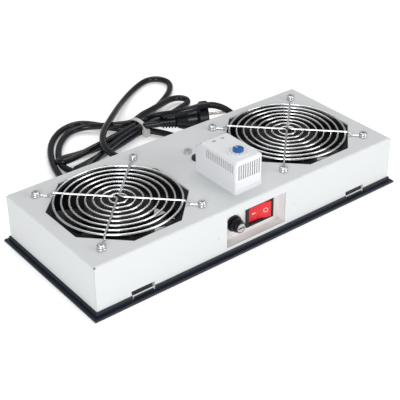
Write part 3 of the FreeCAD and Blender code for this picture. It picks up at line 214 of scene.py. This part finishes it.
def cordSheath(name, color):
    g = Graph(name)
    wipe = g.noise(70, 3.0)
    fine = g.noise(1200, 2.0)
    g.bump(fine + 2.0 * wipe, 0.12, 0.00006)
    shade = g.mix(wipe, tinted(color, 0.8), tinted(color, 1.5))
    return g.surface(color=shade, roughness=0.2 + 0.12 * wipe, specular=0.4)


def nylonStrap(name, color):
    g = Graph(name)
    haze = g.noise(180, 3.0)
    g.bump(haze, 0.15, 0.00008)
    shade = g.mix(haze, tinted(color, 0.94), tinted(color, 1.04))
    return g.surface(color=shade, roughness=0.38 + 0.1 * haze, subsurface=0.25, subsurfaceScale=0.002)


def clearGlass(name):
    g = Graph(name)
    smear = g.noise(90, 2.0)
    return g.surface(color=(0.9, 0.93, 0.94), roughness=0.04 + 0.06 * smear, transmission=0.85)


foldSeam = {"x": 0.17165, "y": 0.07065, "depth": 0.5}  # the corner folds lie outside both, and are darker
# thermostatShell: the box within which the thermostat plastic gets painted shade
thermostatShell = {"centre": (0.001, -0.02875), "half": (0.0149, 0.0286), "top": 0.0823}
finishes = {
    "painted_sheet": powderCoat("sheetPaint", (0.66, 0.675, 0.68), 0.45, foldSeam),
    # the recessed panel keeps its own pinkish tint, but its paint is brightened past the housing's as painted
    # light for the dim recess
    "panel_sheet": powderCoat("panelPaintWithPaintedLight", (0.80, 0.765, 0.76)),
    "black_trim": mouldedPlastic(
        "trimRubber", (0.010, 0.014, 0.024), 0.34, grain=420, depth=0.00008, specular=0.45
    ),
    "black_plastic": mouldedPlastic("blackMoulding", (0.006, 0.007, 0.010), 0.36, specular=0.35),
    "fan_casting": castAlloy("fanFramePaint", (0.003, 0.0035, 0.005)),
    "fan_plastic": mouldedPlastic("fanBladePlastic", (0.004, 0.005, 0.007), 0.4, specular=0.25),
    "winding": copperWinding("motorWinding"),
    "steel": platedMetal("groundSteel", (0.6, 0.6, 0.62), 0.25, streaks=0.1),
    "chrome_wire": platedMetal("guardWire", (0.80, 0.80, 0.81), 0.14),
    "zinc": platedMetal("zincPlate", (0.72, 0.73, 0.74), 0.24),
    "white_plastic": louvredPlastic("thermostatPlastic", (0.78, 0.79, 0.81), thermostatShell),
    "blue_plastic": mouldedPlastic("dialBlue", (0.004, 0.105, 0.36), 0.35),
    "dark_plastic": mouldedPlastic("innerPlastic", (0.02, 0.02, 0.023), 0.45),
    "spring_brass": platedMetal("springBrass", (0.72, 0.53, 0.22), 0.28),
    "black_rubber": mouldedPlastic("grommetRubber", (0.012, 0.012, 0.014), 0.5),
    "red_plastic": mouldedPlastic(
        "rockerRed", (0.68, 0.012, 0.022), 0.25, grain=500, depth=0.00002, coat=0.2, specular=0.3
    ),
    "fuse_glass": clearGlass("fuseGlass"),
    "cord_pvc": cordSheath("cordSheath", (0.004, 0.005, 0.008)),
    "nylon": nylonStrap("tieNylon", (0.62, 0.63, 0.61)),
    "wire_insulation": mouldedPlastic("coreInsulation", (0.02, 0.02, 0.024), 0.4),
    "nickel": platedMetal("pinNickel", (0.72, 0.70, 0.66), 0.18),
}
for sub in frame["record"]["subparts"]:
    mesh = nodes[sub["node"]].data
    mesh.materials.clear()
    mesh.materials.append(finishes[sub["material_slot"]])
print("materials on the CAD pieces")


# mains cord: one smooth line from the gland, round its loops and through the tie, to the plug
cordFacts = {
    "diameter": 0.007,
    "route": [
        # gland, over the hank and round the large loop
        (-22, 70, 18), (-22, 97, 18), (-29, 116, 18.5), (-26, 140, 19), (-11, 163, 18.5), (10, 184, 15.5),
        (36, 208, 12), (58, 229, 7), (86, 250, 4.4), (116, 265, 4), (131, 259, 4), (135, 242, 4),
        (122, 223, 4), (93, 203, 4.2), (66, 190, 4.8), (50, 181.5, 5),
        # first pass through the tie, then the long loop to the left and back
        (34.3, 173.2, 5), (20, 182, 5), (10, 202, 4.6), (-4, 222, 4.2), (-27, 221, 4), (-50, 204, 4),
        (-66, 180, 4), (-78, 150, 4), (-83, 120, 4), (-74, 98, 4), (-57, 98, 4), (-58, 120, 4),
        (-71, 148, 4.2), (-59, 176, 4.2), (-43, 197, 4), (-23, 211, 4.3), (-6, 208, 5.5), (9, 191, 9),
        (21, 179, 11.5), (34.3, 173.6, 11.4), (50, 180, 13),
        # small fold to the right
        (70, 186, 11.5), (92, 194.5, 9.5), (106, 200, 7.5), (117, 199, 6.2), (122, 191.5, 5.5),
        (117.5, 183.5, 5), (105, 180.5, 4.6), (88, 175, 5), (66, 171, 5), (50, 170, 5),
        # rear hairpin of the hank
        (36, 168, 5), (10, 163, 4.8), (-16, 161, 4.2), (-44, 163, 4), (-56, 165, 4.2), (-68, 163.5, 5),
        (-68, 153.5, 7.8), (-58, 152, 8.5), (-40, 152, 11), (-14, 156, 11.6), (14, 162, 11.8),
        # up and over the front of the plug, down behind the housing and back
        (36, 168, 12), (50, 170, 12.5), (55, 159, 20), (55, 144, 27), (61, 132, 31.5), (72, 121.5, 36),
        (86, 114.5, 40), (102, 109.5, 36.5), (115, 99, 26), (112, 87, 14), (96, 87, 6.5), (78, 102, 4.4),
        (62, 124, 4), (53, 148, 4.4),
        # front hairpin of the hank, then the plug
        (39, 163.8, 5), (12, 155, 4.6), (-14, 149, 4.2), (-38, 143, 4), (-54, 139, 4.4), (-62, 137.5, 4.9),
        (-62, 129.5, 7.6), (-54, 128, 8.5), (-38, 134, 10.6), (-12, 146, 11.4), (14, 155.5, 11.8),
        (37.7, 162.8, 11.4), (47, 153.8, 13), (58, 146.5, 14.8),
    ],
}


def layCord(name, facts):
    curve = bpy.data.curves.new(name, "CURVE")
    curve.dimensions = "3D"
    spline = curve.splines.new("NURBS")
    spline.points.add(len(facts["route"]) - 1)
    for point, place in zip(spline.points, facts["route"]):
        point.co = (*(v * mm for v in place), 1)
    spline.order_u = 3
    spline.use_endpoint_u = True
    spline.resolution_u = 12
    curve.bevel_depth = facts["diameter"] / 2
    curve.bevel_resolution = 5
    curve.use_fill_caps = True
    curve.materials.append(finishes["cord_pvc"])
    cord = bpy.data.objects.new(name, curve)
    bpy.context.collection.objects.link(cord)
    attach(cord, "tray")
    return cord


mainsCord = layCord("mainsCord", cordFacts)
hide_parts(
    "mains_cord_lead", "mains_cord_fold", "mains_cord_loop", "mains_cord_tail", "mains_cord_end",
    "cord_hank",
)
print("cord laid")


# tools for the fine pieces that dress the CAD solids
def edit(obj):
    bpy.ops.object.select_all(action="DESELECT")
    bpy.context.view_layer.objects.active = obj
    obj.select_set(True)
    bpy.ops.object.mode_set(mode="EDIT")
    bpy.ops.mesh.select_all(action="DESELECT")
    bpy.ops.mesh.select_mode(type="VERT")


def chooseVerts(obj, test):
    mesh = bmesh.from_edit_mesh(obj.data)
    for vert in mesh.verts:
        vert.select = bool(test(obj.matrix_world @ vert.co))
    mesh.select_flush(True)
    bmesh.update_edit_mesh(obj.data)


def finishPiece(obj, name, facts):
    bpy.ops.object.transform_apply(location=True, rotation=True, scale=True)
    if facts.get("bevel"):
        bevel = obj.modifiers.new("bevel", "BEVEL")
        bevel.width, bevel.segments, bevel.limit_method = facts["bevel"] * mm, 2, "ANGLE"
        bpy.ops.object.modifier_apply(modifier=bevel.name)
    bpy.ops.object.shade_smooth_by_angle(angle=math.radians(35))
    obj.name = name
    obj.data.materials.clear()
    obj.data.materials.append(facts["material"])
    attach(obj, facts["body"])
    return obj


def slab(name, facts):  # a box from its low and high corner in millimetres
    bpy.ops.object.select_all(action="DESELECT")
    low, high = Vector(facts["low"]) * mm, Vector(facts["high"]) * mm
    bpy.ops.mesh.primitive_cube_add(size=1, location=(low + high) / 2)
    obj = bpy.context.object
    obj.scale = high - low
    return finishPiece(obj, name, facts)


def disc(name, facts):  # a flat cylinder round the axis through "at", starting there
    bpy.ops.object.select_all(action="DESELECT")
    axis = Vector(facts["axis"])
    middle = Vector(facts["at"]) * mm + axis * facts["depth"] * mm / 2
    bpy.ops.mesh.primitive_cylinder_add(
        vertices=48, radius=facts["radius"] * mm, depth=facts["depth"] * mm, location=middle,
        rotation=axis.to_track_quat("Z", "Y").to_euler(),
    )
    return finishPiece(bpy.context.object, name, facts)


def ring(name, facts):
    bpy.ops.object.select_all(action="DESELECT")
    bpy.ops.mesh.primitive_torus_add(
        location=Vector(facts["at"]) * mm, rotation=Vector(facts["axis"]).to_track_quat("Z", "Y").to_euler(),
        major_segments=48, minor_segments=8,
        major_radius=facts["radius"] * mm, minor_radius=facts["wire"] * mm,
    )
    return finishPiece(bpy.context.object, name, facts)


def together(name, objs, body):
    bpy.ops.object.select_all(action="DESELECT")
    for obj in objs:
        obj.select_set(True)
    bpy.context.view_layer.objects.active = objs[0]
    bpy.ops.object.join()
    objs[0].name = name
    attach(objs[0], body)


def copied(obj, move):  # a copy with its own mesh, whose points are moved by a matrix
    twin = obj.copy()
    twin.data = obj.data.copy()
    twin.data.transform(move)
    bpy.context.collection.objects.link(twin)
    return twin


legendWhite = mouldedPlastic("legendWhite", (0.75, 0.72, 0.70), 0.5)
markGrey = mouldedPlastic("markGrey", (0.42, 0.43, 0.44), 0.5)
scaleBlue = mouldedPlastic("scaleBlue", (0.12, 0.28, 0.6), 0.5)
scaleOrange = mouldedPlastic("scaleOrange", (0.75, 0.33, 0.12), 0.5)

# rocker pressed at its left, proud at its right, with the two usual marks
rockerFacts = {
    "centre": (11, -60.6, 25.2),
    "half": (12.9, 8.3),
    "back": 4.6,
    "left": 0.3,
    "crest": 0.9,
    "right": 4.5,
    "inset": 1.6,
    "bevel": 0.5,
    "material": finishes["red_plastic"],
    "slot": "red_plastic",
    "body": "rocker",
}


def makeRocker(facts):
    cx, cy, cz = facts["centre"]
    halfX, halfZ = facts["half"]
    bpy.ops.object.select_all(action="DESELECT")
    bpy.ops.mesh.primitive_cube_add(size=1, location=Vector((cx, cy + facts["back"] / 2, cz)) * mm)
    obj = bpy.context.object
    obj.scale = Vector((2 * halfX, facts["back"], 2 * halfZ)) * mm
    bpy.ops.object.transform_apply(location=True, rotation=True, scale=True)
    edit(obj)
    bpy.ops.mesh.select_all(action="SELECT")
    bpy.ops.mesh.subdivide(number_cuts=1)
    near = 0.1 * mm
    frontPlane = cy * mm + near
    for x, lift in ((cx - halfX, facts["left"]), (cx, facts["crest"]), (cx + halfX, facts["right"])):
        chooseVerts(obj, lambda p: abs(p.x - x * mm) < near and p.y < frontPlane)
        inward = facts["inset"] if x > cx else 0.0
        bpy.ops.transform.translate(value=(-inward * mm, -lift * mm, 0))
    bpy.ops.object.mode_set(mode="OBJECT")
    return finishPiece(obj, "rockerButton", facts)


rockerButton = makeRocker(rockerFacts)
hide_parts("switch_rocker")
dashFacts = {
    "low": (2.6, -61.48, 24.8),
    "high": (6.6, -61.22, 25.6),
    "material": legendWhite,
    "body": "rocker",
}
dash = slab("rockerDash", dashFacts)
slope = math.atan2(rockerFacts["right"] - rockerFacts["crest"], rockerFacts["half"][0] - rockerFacts["inset"])
faceOut = Vector((-math.sin(slope), -math.cos(slope), 0))
midX, frontY, midZ = rockerFacts["centre"]
markX = 17.1  # near the middle of the raised half
circleFacts = {
    "at": Vector((markX, frontY - rockerFacts["crest"] - (markX - midX) * math.tan(slope), midZ)),
    "axis": faceOut,
    "radius": 2.1,
    "wire": 0.28,
    "material": legendWhite,
    "body": "rocker",
}
circle = ring("rockerCircle", circleFacts)
together("rockerMarks", [dash, circle], "rocker")

# fuse cap: a grey face, with a thin black strip across it as the painted shade of its slot
capFront = -72.35
faceFacts = {
    "at": (-19.5, capFront, 25.2),
    "axis": (0, -1, 0),
    "radius": 4.3,
    "depth": 0.25,
    "bevel": 0.08,
    "material": markGrey,
    "body": "fuse_cap",
}
# a black strip on the face: painted shade standing in for the slot's depth
slotShadeFacts = {
    "low": (-23.1, capFront - 0.33, 24.5),
    "high": (-15.9, capFront - 0.2, 25.9),
    "material": finishes["black_plastic"],
    "body": "fuse_cap",
}
together("capFaceAndSlotShade", [disc("capFace", faceFacts), slab("capSlotShade", slotShadeFacts)], "fuse_cap")

# printed scale round the thermostat dial, and the pointer on the dial
scaleFacts = {
    "centre": (1, -42.5, 83.84),
    "radius": 7.6,
    "count": 11,
    "firstAngle": -60,
    "step": 30,
    "tick": (2.0, 0.5, 0.12),
    "lastWarm": 5,
}


def printScale(facts):
    centre = Vector(facts["centre"]) * mm
    angle = math.radians(facts["firstAngle"])
    outward = Vector((math.cos(angle), math.sin(angle), 0)) * facts["radius"] * mm
    bpy.ops.object.select_all(action="DESELECT")
    bpy.ops.mesh.primitive_cube_add(size=1, location=centre + outward, rotation=(0, 0, angle))
    tick = bpy.context.object
    tick.scale = Vector(facts["tick"]) * mm
    ticks = [finishPiece(tick, "tick", {"material": scaleOrange, "body": "tray"})]
    for i in range(1, facts["count"]):
        turn = Matrix.Rotation(math.radians(facts["step"] * i), 4, "Z")
        twin = copied(tick, Matrix.Translation(centre) @ turn @ Matrix.Translation(-centre))
        twin.data.materials[0] = scaleBlue if i > facts["lastWarm"] else scaleOrange
        ticks.append(twin)
    together("dialScale", ticks, "tray")


printScale(scaleFacts)
pointerFacts = {
    "low": (0.7, -41.9, 86.1),
    "high": (1.3, -38.0, 86.22),
    "material": legendWhite,
    "body": "dial",
}
slab("dialPointer", pointerFacts)

# small ribs along the foot of the thermostat's front
ribFacts = {
    "low": (-12.2, -58.55, 51.2),
    "high": (-11.0, -57.8, 55.4),
    "pitch": 2.4,
    "count": 12,
    "bevel": 0.2,
    "material": finishes["white_plastic"],
    "body": "tray",
}


def lineRibs(facts):
    ribs = [slab("rib", facts)]
    for i in range(1, facts["count"]):
        ribs.append(copied(ribs[0], Matrix.Translation((facts["pitch"] * i * mm, 0, 0))))
    together("footRibs", ribs, facts["body"])


lineRibs(ribFacts)

# plain foil labels on the motor plates, seen from below
labelFacts = {
    "axis": (0, 0, -1),
    "radius": 22,
    "depth": 0.2,
    "bevel": 0.05,
    "material": finishes["steel"],
    "body": "tray",
}
for side, x in (("left", -100), ("right", 100)):
    disc(side + "MotorLabel", {**labelFacts, "at": (x, 0, 10.5)})
print("fine pieces made")


def layFloor(facts):
    bpy.ops.object.select_all(action="DESELECT")
    bpy.ops.mesh.primitive_plane_add(size=facts["size"], location=(0, 0, facts["drop"]))
    floor = bpy.context.object
    floor.name = "floor"
    g = Graph("floorPaper")
    paper = g.noise(6, 2.0)
    shade = g.mix(paper, facts["color"], tinted(facts["color"], 1.01))
    g.surface(glowColor=(1.0, 1.0, 1.0), glow=facts["glow"], color=shade, roughness=0.9, specular=0.1)
    floor.data.materials.append(g.material)


def softLight(name, facts):
    light = bpy.data.lights.new(name, "AREA")
    light.shape = "RECTANGLE"
    light.size = light.size_y = facts["side"]
    light.energy = facts["power"]
    light.color = facts["color"]
    lamp = bpy.data.objects.new(name, light)
    bpy.context.collection.objects.link(lamp)
    lamp.location = facts["at"]
    aim = Vector(facts["aim"]) - Vector(facts["at"])
    lamp.rotation_euler = aim.to_track_quat("-Z", "Y").to_euler()


layFloor({"size": 12.0, "drop": -0.0002, "color": (0.93, 0.93, 0.93), "glow": 0.32})
lights = {
    "keyPanel": {
        "at": (-1.5, -1.3, 0.8), "aim": (0, 0, 0.03), "side": 1.0, "power": 24, "color": (0.97, 0.985, 1),
    },
    "fillPanel": {
        "at": (1.1, -1.7, 0.8), "aim": (0, 0, 0.03), "side": 1.0, "power": 15, "color": (1, 1, 0.99),
    },
    "topPanel": {
        "at": (0.5, 0.6, 1.9), "aim": (0, 0.1, 0), "side": 1.6, "power": 17, "color": (1, 1, 1),
    },
}
for name, facts in lights.items():
    softLight(name, facts)
worldFacts = {"color": (1, 1, 1, 1), "strength": 0.33}
world = bpy.data.worlds.new("studio")
world.use_nodes = True
background = world.node_tree.nodes["Background"]
background.inputs["Color"].default_value = worldFacts["color"]
background.inputs["Strength"].default_value = worldFacts["strength"]
bpy.context.scene.world = world
bpy.context.scene.view_settings.view_transform = "Standard"

cameraFacts = {
    "at": (-0.50718, -0.64031, 0.52617),
    "turn": -38.87,
    "rise": 31.09,
    "lens": 91.37,
    "shift": (-0.0375, -0.05),
}


def setCamera(facts):
    turn, rise = math.radians(facts["turn"]), math.radians(facts["rise"])
    back = Vector((math.sin(turn) * math.cos(rise), -math.cos(turn) * math.cos(rise), math.sin(rise)))
    lens = bpy.data.cameras.new("camera")
    lens.lens = facts["lens"]
    lens.sensor_width = 36
    lens.sensor_fit = "HORIZONTAL"
    lens.shift_x, lens.shift_y = facts["shift"]
    lens.clip_end = 20
    camera = bpy.data.objects.new("camera", lens)
    bpy.context.collection.objects.link(camera)
    camera.location = facts["at"]
    camera.rotation_euler = back.to_track_quat("Z", "Y").to_euler()
    bpy.context.scene.camera = camera


setCamera(cameraFacts)
print("floor, light and camera set")
